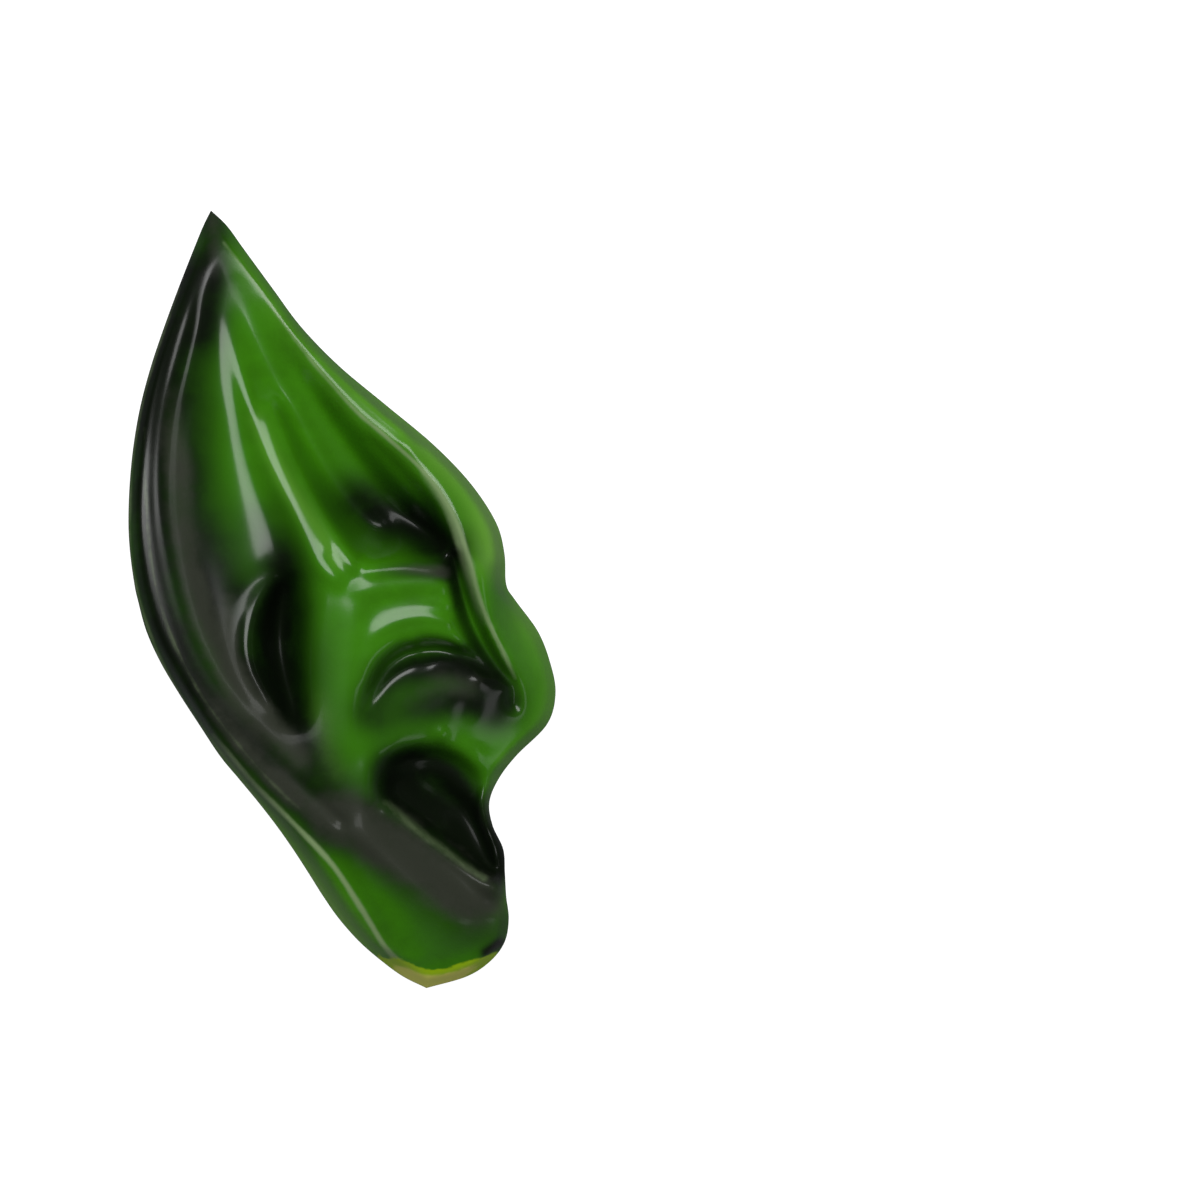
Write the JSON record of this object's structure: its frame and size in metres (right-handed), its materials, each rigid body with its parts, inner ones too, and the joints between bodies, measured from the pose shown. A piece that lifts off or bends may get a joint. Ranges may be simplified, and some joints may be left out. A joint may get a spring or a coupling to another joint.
{
  "type": "elf ear tip",
  "caption": "Long pointed costume ear in glossy painted latex, a thin hollow shell with an open mouth at the back that slips over the wearer's own ear.",
  "frame": {"origin": "on the surface that the ear lies on, under the middle of its outline", "axes": "+Y from the lobe to the pointed tip, +X from the back edge to the cheek edge, +Z out of the modelled face"},
  "size_m": [0.0654, 0.12, 0.0214],
  "materials": {
    "painted_latex": "glossy moulded latex, green with black airbrushed shading"
  },
  "bodies": {
    "root": {"ear_shell": "painted_latex"}
  },
  "joints": []
}
